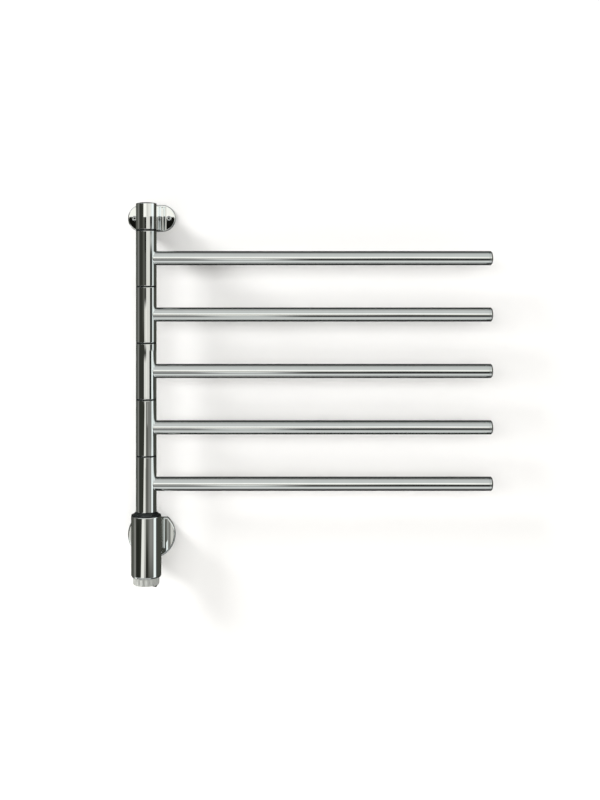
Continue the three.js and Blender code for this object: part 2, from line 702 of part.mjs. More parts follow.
const warmer = new THREE.Group();

const wall = new THREE.Group();
wall.rotation.x = Math.PI / 2;
wall.add(part('upper_wall_plate', upperWallPlate(), 'chrome'));
for (const [side, sign] of [['left', -1], ['right', 1]]) {
  const upperScrew = wallScrew(
    UPPER_PLATE_THICKNESS, UPPER_SCREW_HEAD, UPPER_SCREW_HEAD_HEIGHT);
  const upper = part(`upper_screw_${side}`, upperScrew, 'steel');
  upper.position.x = sign * upperScrewOffset;
  const mountScrew = wallScrew(
    MOUNT_PLATE_THICKNESS, MOUNT_SCREW_HEAD, MOUNT_SCREW_HEAD_HEIGHT);
  const lower = part(`lower_screw_${side}`, mountScrew, 'steel');
  lower.position.set(sign * mountScrewOffset, lowerFlangeCentre, 0);
  wall.add(upper, lower);
}
const lowerWall = new THREE.Group();
lowerWall.position.y = lowerFlangeCentre;
lowerWall.add(part('lower_wall_flange', lowerWallFlange(), 'chrome'));
lowerWall.add(part('lower_mount_plate', lowerMountPlate(), 'steel'));
lowerWall.add(part('cable_grommet', cableGrommet(), 'rubber'));
wall.add(lowerWall);
warmer.add(wall);

warmer.add(part('upper_bracket', upperBracket(), 'chrome'));
warmer.add(part('upper_grub_screw', grubScrew(upperNeckBack, RING_BOTTOM + GRUB_RECESS, 0),
  'steel'));
warmer.add(part('lower_bracket', lowerBracket(), 'chrome'));
warmer.add(part('lower_grub_screw',
  grubScrew(lowerNeckBack, lowerNeckBottom + GRUB_RECESS, lowerFlangeCentre),
  'steel'));
warmer.add(part('supply_lead', supplyLead(), 'rubber'));

const post = new THREE.Group();
post.position.y = -POST_TO_WALL;
post.add(part('top_cap', topCap(), 'chrome'));
post.add(part('spindle', spindle(hubCentres), 'steel'));
post.add(part('shoulder_collar', shoulderCollar(), 'nylon'));
post.add(part('control_housing', controlHousing(), 'chrome'));
post.add(part('spindle_lock_nut', lockNut(), 'steel'));
post.add(part('terminal_block', terminalBlock(), 'ceramic'));
post.add(part('heater_lead_loom', leadLoom(hubCentres[0]), 'rubber'));
post.add(part('switch_collar', switchCollar(), 'clear'));
post.add(part('switch_body', switchBody(), 'switch'));
post.add(part('rocker_pin', pinBar(ROCKER_PIN_DIAMETER / 2, pinHalfLength), 'steel'));
post.add(part('rocker', rocker(), 'switch'));

hubCentres.forEach((height, i) => {
  const arm = new THREE.Group();
  const label = `arm_${i + 1}`;
  arm.position.z = height;
  arm.add(part(`${label}_hub`, armHub(), 'chrome'));
  arm.add(part(`${label}_tube`, armTube(), 'chrome'));
  arm.add(part(`${label}_end_cap`, endCap(), 'chrome'));
  arm.add(part(`${label}_heater`, heater(), 'heater'));
  arm.add(part(`${label}_upper_bush`, bush(hubLength / 2 - BUSH_LENGTH), 'bush'));
  arm.add(part(`${label}_lower_bush`, bush(-hubLength / 2), 'bush'));
  post.add(arm);

  const washer = part(`seam_washer_${i + 1}`, seamWasher(), 'nylon');
  washer.position.z = height + ARM_PITCH / 2;
  post.add(washer);
});
warmer.add(post);

export default warmer;
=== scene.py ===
import math

import bpy
from mathutils import Matrix, Vector


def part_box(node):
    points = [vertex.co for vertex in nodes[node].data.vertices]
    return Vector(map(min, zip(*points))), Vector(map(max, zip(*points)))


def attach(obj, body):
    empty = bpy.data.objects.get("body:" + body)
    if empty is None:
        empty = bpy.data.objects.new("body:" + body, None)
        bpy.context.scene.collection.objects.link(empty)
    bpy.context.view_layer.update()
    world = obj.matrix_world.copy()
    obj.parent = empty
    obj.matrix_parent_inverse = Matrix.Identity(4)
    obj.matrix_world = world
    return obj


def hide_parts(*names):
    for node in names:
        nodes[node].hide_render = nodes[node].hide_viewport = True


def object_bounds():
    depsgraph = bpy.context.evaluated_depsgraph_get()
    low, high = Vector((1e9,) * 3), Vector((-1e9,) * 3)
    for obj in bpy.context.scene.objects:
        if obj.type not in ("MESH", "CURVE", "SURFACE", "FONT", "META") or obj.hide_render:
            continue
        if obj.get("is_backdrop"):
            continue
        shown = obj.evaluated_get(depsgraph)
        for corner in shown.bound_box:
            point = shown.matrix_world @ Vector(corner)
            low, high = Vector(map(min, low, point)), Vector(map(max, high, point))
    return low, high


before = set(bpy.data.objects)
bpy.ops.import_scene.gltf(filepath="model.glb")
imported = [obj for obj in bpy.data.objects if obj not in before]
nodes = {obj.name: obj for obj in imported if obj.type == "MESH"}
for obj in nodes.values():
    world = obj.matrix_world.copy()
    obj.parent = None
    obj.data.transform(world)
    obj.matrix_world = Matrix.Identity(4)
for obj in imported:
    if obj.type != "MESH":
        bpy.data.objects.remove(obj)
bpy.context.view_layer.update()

MM = 0.001
scene = bpy.context.scene


# ---------------------------------------------------------------- sizes from the frame
def size_of(node):
    low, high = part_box(node)
    return low, high, high - low


hub_low, hub_high, hub_size = size_of("arm_1_hub")
POST_R = hub_size.x / 2
POST_Y = (hub_low.y + hub_high.y) / 2
POST = Vector((0, POST_Y, 0))
ARMS = range(1, 6)

# Sizes that the frame does not give.
SPINDLE_BORE_R = 11.3 * MM    # ring and housing, on the spindle
TUBE_WALL = 1.5 * MM
TUBE_SEGMENTS = 96
WASHER_WIDTH = 4 * MM
WASHER_SET_BACK = 0.12 * MM   # inside the post's surface
WASHER_REACH = 0.27 * MM      # past its CAD ends, to the hubs
FIRST_GROOVE = 0.75 * MM      # hub's end below its CAD end, at the top seam
GROOVE = 0.35 * MM            # the same at the other seams
RING_LIFT = 0.3 * MM          # ring's underside above its CAD end
NECK_FLARE = 3.5 * MM         # depth over which a neck widens
FLARE_LIFT = 1.6 * MM         # how late the flare turns outwards
NECK_EDGE = 0.9 * MM
NECK_SINK = 0.25 * MM         # neck's foot inside the plate's face
UPPER_PLATE_DEPTH = 5 * MM
LOWER_FLANGE_DEPTH = 7.5 * MM


# ---------------------------------------------------------------- mesh helpers
def mesh_object(name, points, faces, sharp=40):
    mesh = bpy.data.meshes.new(name)
    mesh.from_pydata([tuple(p) for p in points], [], faces)
    mesh.validate()
    mesh.update()
    mesh.shade_smooth()
    mesh.set_sharp_from_angle(angle=math.radians(sharp))
    piece = bpy.data.objects.new(name, mesh)
    scene.collection.objects.link(piece)
    return piece


def rounded(corners, steps=4):
    """Polyline through (a, b, radius) corners, each rounded to its radius."""
    out = []
    for i, (a, b, radius) in enumerate(corners):
        here = Vector((a, b))
        if radius <= 0 or i in (0, len(corners) - 1):
            out.append(here)
            continue
        before = Vector(corners[i - 1][:2]) - here
        after = Vector(corners[i + 1][:2]) - here
        half = before.angle(after) / 2
        reach = min(radius / math.tan(half), before.length * 0.48, after.length * 0.48)
        start = here + before.normalized() * reach
        end = here + after.normalized() * reach
        for k in range(steps + 1):
            t = k / steps
            out.append((1 - t) ** 2 * start + 2 * t * (1 - t) * here + t * t * end)
    return out


def supported(line, reach):
    """The line with a holding point near both ends of each long stretch, so that shading stays flat."""
    out = [line[0]]
    for a, b in zip(line, line[1:]):
        length = (b - a).length
        if length > 4 * reach:
            out.append(a + (b - a) * reach / length)
            out.append(b - (b - a) * reach / length)
        out.append(b)
    return out


def lathe(name, corners, origin, axis="Z", segments=128, steps=4, reach=0.4 * MM, sharp=40):
    """Turned piece: corners are (radius, height, rounding) in metres, along the axis from the origin."""
    line = supported(rounded(corners, steps), reach)
    points, faces, rows = [], [], []
    for p in line:
        if p.x < 1e-7:
            rows.append([len(points)])
            points.append((0, 0, p.y))
        else:
            rows.append(list(range(len(points), len(points) + segments)))
            for k in range(segments):
                a = 2 * math.pi * k / segments
                points.append((p.x * math.cos(a), p.x * math.sin(a), p.y))
    for low, high in zip(rows, rows[1:]):
        for k in range(segments):
            n = (k + 1) % segments
            if len(low) == 1 and len(high) == 1:
                continue
            if len(low) == 1:
                faces.append((low[0], high[n], high[k]))
            elif len(high) == 1:
                faces.append((low[k], low[n], high[0]))
            else:
                faces.append((low[k], low[n], high[n], high[k]))
    turn = {
        "Z": Matrix.Identity(4),
        "X": Matrix.Rotation(math.pi / 2, 4, "Y"),
        "-Y": Matrix.Rotation(math.pi / 2, 4, "X"),
    }[axis]
    placed = [Vector(origin) + turn @ Vector(p) for p in points]
    return mesh_object(name, placed, faces, sharp)


def loft(name, sections, cap_start=True, cap_end=True, sharp=40):
    """Skin over sections with the same number of points, closed round each section."""
    count = len(sections[0])
    points = [p for section in sections for p in section]
    faces = []
    for i in range(len(sections) - 1):
        for k in range(count):
            n = (k + 1) % count
            a, b = i * count, (i + 1) * count
            faces.append((a + k, a + n, b + n, b + k))
    if cap_start:
        faces.append(tuple(reversed(range(count))))
    if cap_end:
        last = (len(sections) - 1) * count
        faces.append(tuple(range(last, last + count)))
    return mesh_object(name, points, faces, sharp)


def rounded_rectangle(half_width, low, high, radius, steps=5):
    """Points (x, z) round a rectangle with round corners, counter-clockwise from the lower right."""
    out = []
    for cx, cz, start in (
        (half_width - radius, low + radius, -90),
        (half_width - radius, high - radius, 0),
        (-half_width + radius, high - radius, 90),
        (-half_width + radius, low + radius, 180),
    ):
        corner = [
            (cx + radius * math.cos(math.radians(start + 90 * k / steps)),
             cz + radius * math.sin(math.radians(start + 90 * k / steps)))
            for k in range(steps + 1)
        ]
        out.extend(corner)
    # Holding points near both ends of each long side keep its shading flat.
    held = []
    for i, p in enumerate(out):
        q = out[(i + 1) % len(out)]
        held.append(p)
        length = math.hypot(q[0] - p[0], q[1] - p[1])
        if length > 2.5 * radius:
            for share in (radius / length, 1 - radius / length):
                held.append((p[0] + (q[0] - p[0]) * share, p[1] + (q[1] - p[1]) * share))
    return held


# ---------------------------------------------------------------- materials
def material(name, colour, metallic=0.0, roughness=0.3):
    made = bpy.data.materials.new(name)
    made.use_nodes = True
    shader = made.node_tree.nodes["Principled BSDF"]
    shader.inputs["Base Color"].default_value = (*colour, 1)
    shader.inputs["Metallic"].default_value = metallic
    shader.inputs["Roughness"].default_value = roughness
    return made, made.node_tree, shader


def add(tree, kind, **values):
    node = tree.nodes.new(kind)
    for key, value in values.items():
        setattr(node, key, value)
    return node


def noise(tree, scale, detail=3.0, coordinate="Object", stretch=(1, 1, 1)):
    place = add(tree, "ShaderNodeTexCoord")
    mapping = add(tree, "ShaderNodeMapping")
    mapping.inputs["Scale"].default_value = stretch
    texture = add(tree, "ShaderNodeTexNoise")
    texture.inputs["Scale"].default_value = scale
    texture.inputs["Detail"].default_value = detail
    tree.links.new(place.outputs[coordinate], mapping.inputs["Vector"])
    tree.links.new(mapping.outputs["Vector"], texture.inputs["Vector"])
    return texture


def vary(tree, texture, low, high, target):
    """Sends the texture to a number socket, spread from low to high."""
    spread = add(tree, "ShaderNodeMapRange")
    spread.inputs["From Min"].default_value = 0.3
    spread.inputs["From Max"].default_value = 0.7
    spread.inputs["To Min"].default_value = low
    spread.inputs["To Max"].default_value = high
    tree.links.new(texture.outputs["Fac"], spread.inputs["Value"])
    tree.links.new(spread.outputs["Result"], target)


def tint(tree, texture, first, second, target):
    ramp = add(tree, "ShaderNodeValToRGB")
    ramp.color_ramp.elements[0].position = 0.35
    ramp.color_ramp.elements[0].color = (*first, 1)
    ramp.color_ramp.elements[1].position = 0.65
    ramp.color_ramp.elements[1].color = (*second, 1)
    tree.links.new(texture.outputs["Fac"], ramp.inputs["Fac"])
    tree.links.new(ramp.outputs["Color"], target)


def bump(tree, texture, shader, strength, distance):
    lift = add(tree, "ShaderNodeBump")
    lift.inputs["Strength"].default_value = strength
    lift.inputs["Distance"].default_value = distance
    tree.links.new(texture.outputs["Fac"], lift.inputs["Height"])
    tree.links.new(lift.outputs["Normal"], shader.inputs["Normal"])


def surfaced(name, first, second, rough, scale, metallic=0.0, strength=0.0, distance=0.0, **kind):
    """Finish with a colour and a roughness that vary, and a fine relief."""
    made, tree, shader = material(name, first, metallic)
    texture = noise(tree, scale, **kind)
    tint(tree, texture, first, second, shader.inputs["Base Color"])
    vary(tree, noise(tree, scale * 0.37), *rough, shader.inputs["Roughness"])
    if strength:
        bump(tree, texture, shader, strength, distance)
    return made, tree, shader


chrome, _, _ = surfaced(
    "polished_chrome", (0.925, 0.94, 0.93), (0.945, 0.955, 0.945),
    rough=(0.004, 0.012), scale=60, metallic=1.0)
screw_steel, screw_tree, screw_shader = surfaced(
    "screw_steel", (0.72, 0.73, 0.73), (0.80, 0.81, 0.81),
    rough=(0.12, 0.24), scale=400, metallic=1.0, strength=0.15, distance=0.05 * MM)
# Painted shade: ambient occlusion darkens the base colour in the recess of a screw's head, standing in
# for the shade there.
recess = add(screw_tree, "ShaderNodeAmbientOcclusion", samples=8)
recess.inputs["Distance"].default_value = 3 * MM
recess_shade = add(screw_tree, "ShaderNodeMapRange")
recess_shade.inputs["From Min"].default_value = 0.62
recess_shade.inputs["From Max"].default_value = 0.82
recess_shade.inputs["To Min"].default_value = 0.02
screw_tree.links.new(recess.outputs["AO"], recess_shade.inputs["Value"])
# The screw's base colour, scaled down by the painted shade of the recess.
shaded_steel_colour = add(screw_tree, "ShaderNodeVectorMath", operation="SCALE")
screw_tree.links.new(screw_shader.inputs["Base Color"].links[0].from_socket, shaded_steel_colour.inputs[0])
screw_tree.links.new(recess_shade.outputs["Result"], shaded_steel_colour.inputs["Scale"])
screw_tree.links.new(shaded_steel_colour.outputs["Vector"], screw_shader.inputs["Base Color"])
inner_steel, _, _ = surfaced(
    "inner_steel", (0.50, 0.51, 0.51), (0.62, 0.63, 0.63),
    rough=(0.28, 0.42), scale=160, metallic=1.0, strength=0.25, distance=0.1 * MM,
    stretch=(1, 1, 8))
black_nylon, _, _ = surfaced(
    "black_nylon", (0.008, 0.010, 0.010), (0.014, 0.017, 0.016),
    rough=(0.14, 0.24), scale=220, strength=0.08, distance=0.04 * MM)
pale_bush, _, _ = surfaced(
    "pale_bush", (0.66, 0.63, 0.55), (0.72, 0.69, 0.61),
    rough=(0.5, 0.65), scale=180, strength=0.2, distance=0.08 * MM)
heater_sheath, _, _ = surfaced(
    "heater_sheath", (0.24, 0.23, 0.22), (0.34, 0.33, 0.31),
    rough=(0.35, 0.5), scale=140, metallic=1.0, strength=0.2, distance=0.08 * MM)
cable_rubber, _, _ = surfaced(
    "cable_rubber", (0.012, 0.012, 0.012), (0.022, 0.022, 0.022),
    rough=(0.55, 0.7), scale=300, strength=0.3, distance=0.1 * MM)
terminal_ceramic, _, _ = surfaced(
    "terminal_ceramic", (0.76, 0.73, 0.66), (0.82, 0.79, 0.73),
    rough=(0.35, 0.5), scale=160, strength=0.2, distance=0.1 * MM)
switch_black, _, _ = surfaced(
    "switch_black", (0.007, 0.007, 0.008), (0.013, 0.013, 0.014),
    rough=(0.16, 0.26), scale=260, strength=0.06, distance=0.04 * MM)
clear_collar, _, clear_shader = surfaced(
    "clear_collar", (0.47, 0.48, 0.45), (0.53, 0.54, 0.51),
    rough=(0.06, 0.12), scale=120, strength=0.06, distance=0.05 * MM)
clear_shader.inputs["Transmission Weight"].default_value = 0.25
clear_shader.inputs["IOR"].default_value = 1.49

FINISHES = {
    "polished_chrome": chrome,
    "screw_steel": screw_steel,
    "inner_steel": inner_steel,
    "black_nylon": black_nylon,
    "pale_bush": pale_bush,
    "heater_sheath": heater_sheath,
    "cable_rubber": cable_rubber,
    "terminal_ceramic": terminal_ceramic,
    "switch_black": switch_black,
    "clear_collar": clear_collar,
}


def finish_piece(piece, finish, body, *replaced):
    piece.data.materials.clear()
    piece.data.materials.append(FINISHES[finish])
    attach(piece, body)
    if replaced:
        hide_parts(*replaced)
    return piece


# ---------------------------------------------------------------- pieces on the post
def tube_shell(name, outer, inner, low, high, edge, segments=128):
    return lathe(name, [
        (inner, low, 0),
        (outer, low, edge),
        (outer, high, edge),
        (inner, high, 0),
        (inner, low, 0),
    ], POST, segments=segments)


ring_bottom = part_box("upper_bracket")[0].z
ring_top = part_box("upper_bracket")[1].z

# Top cap: a shallow disc with a soft shoulder.
_, cap_high, _ = size_of("top_cap")
seat = ring_top + 0.15 * MM
cap = lathe("cap", [
    (0, seat, 0),
    (POST_R - 0.3 * MM, seat, 0.15 * MM),
    (POST_R, seat + 0.3 * MM, 0.2 * MM),
    (POST_R, cap_high.z - 2.4 * MM, 0.5 * MM),
    (POST_R - 1.0 * MM, cap_high.z - 1.5 * MM, 0.8 * MM),
    (POST_R * 0.55, cap_high.z - 0.4 * MM, 6 * MM),
    (0, cap_high.z, 0),
], POST)
finish_piece(cap, "polished_chrome", "frame", "top_cap")

# Hubs, and the black washer that fills the groove above each one.
for n in ARMS:
    low, high, _ = size_of(f"arm_{n}_hub")
    groove = FIRST_GROOVE if n == 1 else GROOVE
    hub = tube_shell(f"hub_{n}", POST_R, POST_R - 2 * MM, low.z, high.z - groove, 0.1 * MM)
    finish_piece(hub, "polished_chrome", f"arm_{n}", f"arm_{n}_hub")

    low, high, _ = size_of(f"seam_washer_{n}")
    washer_low = low.z - WASHER_REACH - groove
    washer_high = high.z + WASHER_REACH + (RING_LIFT if n == 1 else 0)
    washer = lathe(f"washer_{n}", [
        (POST_R - WASHER_WIDTH, washer_low, 0),
        (POST_R - WASHER_SET_BACK, washer_low, 0.08 * MM),
        (POST_R - WASHER_SET_BACK, washer_high, 0.08 * MM),
        (POST_R - WASHER_WIDTH, washer_high, 0),
        (POST_R - WASHER_WIDTH, washer_low, 0),
    ], POST)
    finish_piece(washer, "black_nylon", "frame", f"seam_washer_{n}")

# Black bearing cone under the lowest hub.
low, high, size = size_of("shoulder_collar")
cone = lathe("bearing_cone", [
    (POST_R - 3.5 * MM, low.z, 0),
    (size.x / 2, low.z, 0.3 * MM),
    (size.x / 2, low.z + 1.1 * MM, 0.5 * MM),
    (POST_R + 3.2 * MM, high.z - 2.9 * MM, 3 * MM),
    (POST_R + 0.2 * MM, high.z - 0.05 * MM, 0.5 * MM),
    (POST_R - 3.5 * MM, high.z - 0.05 * MM, 0),
    (POST_R - 3.5 * MM, low.z, 0),
], POST)
finish_piece(cone, "black_nylon", "frame", "shoulder_collar")

# Control housing: wide tube, round top edge and long bevel at the foot.
low, high, size = size_of("control_housing")
house_r = size.x / 2
housing_low = low.z
mouth_r = 17.0 * MM
house = lathe("housing", [
    (mouth_r, low.z, 0),
    (house_r - 1.4 * MM, low.z, 0.25 * MM),
    (house_r, low.z + 2.2 * MM, 0.9 * MM),
    (house_r, high.z, 1.1 * MM),
    (SPINDLE_BORE_R, high.z, 0),
    (SPINDLE_BORE_R, high.z - 4 * MM, 0),
    (house_r - 2.5 * MM, high.z - 4 * MM, 0),
    (house_r - 2.5 * MM, low.z + 8 * MM, 0),
    (mouth_r, low.z + 8 * MM, 0),
    (mouth_r, low.z, 0),
], POST, segments=160)
finish_piece(house, "polished_chrome", "frame", "control_housing")


# ---------------------------------------------------------------- arms
def arm_tube(name, n):
    low, high, size = size_of(f"arm_{n}_tube")
    radius = size.z / 2
    axis_z = (low.z + high.z) / 2
    end = high.x
    angles = [2 * math.pi * k / TUBE_SEGMENTS for k in range(TUBE_SEGMENTS)]
    sections = []
    # The weld's bead, laid round the post: radius, and height over the post's surface.
    bead = 0.55 * MM
    for r, lift in (
        (radius + bead, 0.02 * MM),
        (radius + 0.35 * bead, 0.16 * bead),
        (radius + 0.1 * bead, 0.5 * bead),
        (radius, bead),
        (radius, bead + 0.5 * MM),
    ):
        section = []
        for a in angles:
            y, z = r * math.cos(a), r * math.sin(a)
            across = min(abs(y), POST_R * 0.999)
            x = math.sqrt(POST_R ** 2 - across ** 2) + lift
            section.append((x, POST_Y + y, axis_z + z))
        sections.append(section)
    # The open end, with its edge broken.
    for x, r in (
        (end - 0.7 * MM, radius),
        (end - 0.25 * MM, radius),
        (end - 0.06 * MM, radius - 0.08 * MM),
        (end, radius - 0.25 * MM),
        (end, radius - TUBE_WALL),
        (end - 13 * MM, radius - TUBE_WALL),
    ):
        sections.append([(x, POST_Y + r * math.cos(a), axis_z + r * math.sin(a)) for a in angles])
    return loft(name, sections, False, False), axis_z, radius, end


for n in ARMS:
    tube, axis_z, radius, end = arm_tube(f"arm_tube_{n}", n)
    finish_piece(tube, "polished_chrome", f"arm_{n}", f"arm_{n}_tube")
    low, high, _ = size_of(f"arm_{n}_end_cap")
    tip = high.x
    rim = end + 0.3 * MM
    dome = tip - rim - 2.2 * MM
    end_cap = lathe(f"end_cap_{n}", [
        (0, end - 6 * MM, 0),
        (radius - 1.8 * MM, end - 6 * MM, 0.3 * MM),
        (radius - 1.8 * MM, rim, 0),
        (radius - 0.25 * MM, rim, 0.1 * MM),
        (radius, rim + 0.25 * MM, 0.2 * MM),
        (radius, tip - dome, 0.9 * MM),
        (radius * 0.80, tip - 0.38 * dome, 3.2 * MM),
        (radius * 0.40, tip - 0.06 * dome, 4 * MM),
        (0, tip, 0),
    ], (0, POST_Y, axis_z), axis="X", segments=TUBE_SEGMENTS)
    finish_piece(end_cap, "polished_chrome", f"arm_{n}", f"arm_{n}_end_cap")


# ---------------------------------------------------------------- brackets and wall plates
def flare(root, foot, back, y):
    """Half width of a neck at depth y: straight, then a hollow curve out to the foot."""
    start = back - NECK_FLARE
    bend = back - FLARE_LIFT
    if y <= start:
        return root / 2
    a = start - 2 * bend + back
    b = 2 * (bend - start)
    c = start - y
    t = (-b + math.sqrt(b * b - 4 * a * c)) / (2 * a) if abs(a) > 1e-9 else -c / b
    return root / 2 + (foot - root) / 2 * t * t


def neck(name, root, foot, front, back, top, bottom):
    sections = []
    count = 20
    depths = [front, front + 0.5 * MM, front + 1 * MM, back - NECK_FLARE - 0.5 * MM]
    depths += [back - NECK_FLARE * (1 - k / count) for k in range(count + 1)]
    for y in depths:
        outline = rounded_rectangle(flare(root, foot, back, y), bottom, top, NECK_EDGE)
        sections.append([(x, y, z) for x, z in outline])
    return loft(name, sections)


neck_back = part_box("upper_bracket")[1].y
upper_neck = neck("upper_neck", root=25 * MM, foot=31 * MM, front=POST_Y + 9 * MM,
                  back=neck_back + NECK_SINK, top=ring_top - 1.5 * MM, bottom=ring_bottom)
upper_ring = tube_shell("upper_ring", POST_R, SPINDLE_BORE_R, ring_bottom + RING_LIFT, ring_top,
                        0.12 * MM)


def joined(first, *others):
    bpy.ops.object.select_all(action="DESELECT")
    for piece in (first, *others):
        piece.select_set(True)
    bpy.context.view_layer.objects.active = first
    bpy.ops.object.join()
    return first


finish_piece(joined(upper_ring, upper_neck), "polished_chrome", "frame", "upper_bracket")

low, high, size = size_of("lower_bracket")
lower_neck = neck("lower_neck", root=38.5 * MM, foot=41.5 * MM, front=POST_Y + 12 * MM,
                  back=high.y + NECK_SINK, top=high.z, bottom=low.z)
finish_piece(lower_neck, "polished_chrome", "frame", "lower_bracket")


def obround(width, height, inset, steps=48):
    radius = height / 2 - inset
    reach = (width - height) / 2
    out = []
    for side, start in ((1, -90), (-1, 90)):
        for k in range(steps + 1):
            a = math.radians(start + 180 * k / steps)
            out.append((side * reach + radius * math.cos(a), radius * math.sin(a)))
    return out


def flat_disc(radius, flat, inset, steps=96):
    r, f = radius - inset, flat - inset
    start = math.asin(f / r)
    sweep = math.pi + 2 * start
    out = []
    for k in range(steps + 1):
        a = math.pi - start + sweep * k / steps
        out.append((r * math.cos(a), r * math.sin(a)))
    return out


def plate(name, outline, thickness, bevel, centre_z):
    """Plate on the wall: its rim turns over from the wall edge to the flat face."""
    edge = 0.3 * MM
    hold = 0.4 * MM
    steps = 8
    levels = [(edge, 0.0), (0.0, edge), (0.0, thickness - bevel - hold)]
    for k in range(steps + 1):
        a = math.radians(90 * k / steps)
        levels.append((bevel * (1 - math.cos(a)), thickness - bevel + bevel * math.sin(a)))
    levels.append((bevel + hold, thickness))
    sections = []
    for inset, depth in levels:
        sections.append([(x, -depth, centre_z + z) for x, z in outline(inset)])
    return loft(name, sections, sharp=50)


low, high, size = size_of("upper_wall_plate")
upper_plate = plate("upper_plate", lambda inset: obround(size.x, size.z, inset),
                    UPPER_PLATE_DEPTH, 1.7 * MM, 0)
finish_piece(upper_plate, "polished_chrome", "frame", "upper_wall_plate")

low, high, size = size_of("lower_wall_flange")
flange_r = size.x / 2
flange_z = low.z + flange_r
lower_flange = plate("lower_flange", lambda inset: flat_disc(flange_r, high.z - flange_z, inset),
                     LOWER_FLANGE_DEPTH, 2.2 * MM, flange_z)
finish_piece(lower_flange, "polished_chrome", "frame", "lower_wall_flange")

for side in ("left", "right"):
    low, high, size = size_of(f"upper_screw_{side}")
    x = (low.x + high.x) / 2
    z = (low.z + high.z) / 2
    under = UPPER_PLATE_DEPTH + 0.05 * MM
    head = -low.y
    socket_r, head_r, shank_r = 1.7 * MM, 3.9 * MM, 2.3 * MM
    screw = lathe(f"wall_screw_{side}", [
        (0, head - 4.6 * MM, 0),
        (socket_r, head - 3.8 * MM, 0.05 * MM),
        (socket_r, head - 0.1 * MM, 0.12 * MM),
        (socket_r + 0.8 * MM, head, 0.5 * MM),
        (head_r, under + 1.2 * MM, 0.9 * MM),
        (head_r, under, 0.1 * MM),
        (shank_r, under, 0),
        (shank_r, 0.4 * MM, 0.1 * MM),
        (0, 0.4 * MM, 0),
    ], (x, 0, z), axis="-Y", segments=64, reach=0.15 * MM)
    screw.data.flip_normals()
    finish_piece(screw, "screw_steel", "frame", f"upper_screw_{side}")


# ---------------------------------------------------------------- switch at the foot
low, high, size = size_of("switch_collar")
collar_r = size.x / 2
collar_top = housing_low - 0.05 * MM
FLUTES = 16
FLUTE_POINTS = 12


def fluted(radius, depth, z):
    """Points round the collar at height z, with flutes cut in by the depth."""
    count = FLUTES * FLUTE_POINTS
    out = []
    for k in range(count):
        inset = depth * math.cos(math.pi * (k % FLUTE_POINTS) / FLUTE_POINTS) ** 2
        a = 2 * math.pi * k / count
        out.append(((radius - inset) * math.cos(a), POST_Y + (radius - inset) * math.sin(a), z))
    return out


mouth = collar_r - 2.25 * MM
bottom = low.z
sections = [
    fluted(collar_r - 2.4 * MM, 0, collar_top),
    fluted(collar_r - 0.5 * MM, 0.3 * MM, collar_top),
    fluted(collar_r - 0.1 * MM, 0.8 * MM, collar_top - 0.35 * MM),
    fluted(collar_r, 2.2 * MM, collar_top - 1.2 * MM),
    fluted(collar_r, 2.2 * MM, bottom + 2.2 * MM),
    fluted(collar_r - 0.25 * MM, 1.7 * MM, bottom + 1.0 * MM),
    fluted(collar_r - 0.8 * MM, 0.3 * MM, bottom + 0.25 * MM),
    fluted(collar_r - 1.4 * MM, 0, bottom),
    fluted(mouth + 0.3 * MM, 0, bottom),
    fluted(mouth, 0, bottom + 0.3 * MM),
    fluted(mouth, 0, collar_top - 2.2 * MM),
    fluted(mouth - 3.0 * MM, 0, collar_top - 2.3 * MM),
]
collar = loft("fluted_collar", sections, False, False, sharp=60)
finish_piece(collar, "clear_collar", "frame", "switch_collar")

_, _, rocker_size = size_of("rocker")
pin_low, pin_high, _ = size_of("rocker_pin")
pin_z = (pin_low.z + pin_high.z) / 2


ROCKER_REACH = 16.8 * MM      # half length
ROCKER_TILT = 5               # degrees, at rest


def rocker_mesh():
    """Cap across the mouth, in sections along x: lower at both ends than in the middle."""
    reach = ROCKER_REACH
    half = rocker_size.y / 2
    tilt = Matrix.Rotation(math.radians(ROCKER_TILT), 4, "Y")
    underside = pin_z - 5.0 * MM
    count = 40
    sections = []
    for k in range(count + 1):
        x = reach * math.sin(math.pi * (k / count - 0.5)) * 0.998
        width = min(half, math.sqrt(max(reach ** 2 - x ** 2, 1e-9)))
        width = max(width, 2.2 * MM)
        share = abs(x) / reach
        low = underside + 1.2 * MM * (1 - share ** 2)
        high = pin_z + 3.2 * MM - 4.0 * MM * max(0, (share - 0.35) / 0.65)
        soft = 0.55 * MM * max(0, (share - 0.9) / 0.1) ** 2
        outline = rounded_rectangle(width - soft, low + soft, high - soft, 0.7 * MM)
        section = []
        for y, z in outline:
            p = tilt @ Vector((x, -y, z - pin_z))
            section.append((p.x, POST_Y + p.y, p.z + pin_z))
        sections.append(section)
    return loft("rocker_cap", sections, sharp=50)


finish_piece(rocker_mesh(), "switch_black", "rocker", "rocker")

# ---------------------------------------------------------------- CAD nodes that stay
KEPT = {
    "inner_steel": ["spindle", "spindle_lock_nut", "lower_mount_plate"],
    "screw_steel": ["lower_screw_left", "lower_screw_right", "upper_grub_screw",
                    "lower_grub_screw", "rocker_pin"],
    "cable_rubber": ["cable_grommet", "supply_lead", "heater_lead_loom"],
    "terminal_ceramic": ["terminal_block"],
    "switch_black": ["switch_body"],
    "heater_sheath": [f"arm_{n}_heater" for n in ARMS],
    "pale_bush": [f"arm_{n}_{place}_bush" for n in ARMS for place in ("upper", "lower")],
}
for finish, names in KEPT.items():
    for name in names:
        node = nodes[name]
        node.data.materials.clear()
        node.data.materials.append(FINISHES[finish])
        soften = node.modifiers.new("edges", "BEVEL")
        soften.width = 0.15 * MM
        soften.segments = 2
        soften.limit_method = "ANGLE"
        soften.angle_limit = math.radians(50)
        node.data.set_sharp_from_angle(angle=math.radians(40))


# ---------------------------------------------------------------- stage
STAGE_COLOUR = (0.918, 0.911, 0.896)
WIDE = 6.0
FLOOR_Z = -1.15
WALL_TOP = 4.0
FLOOR_GLOW = 0.5


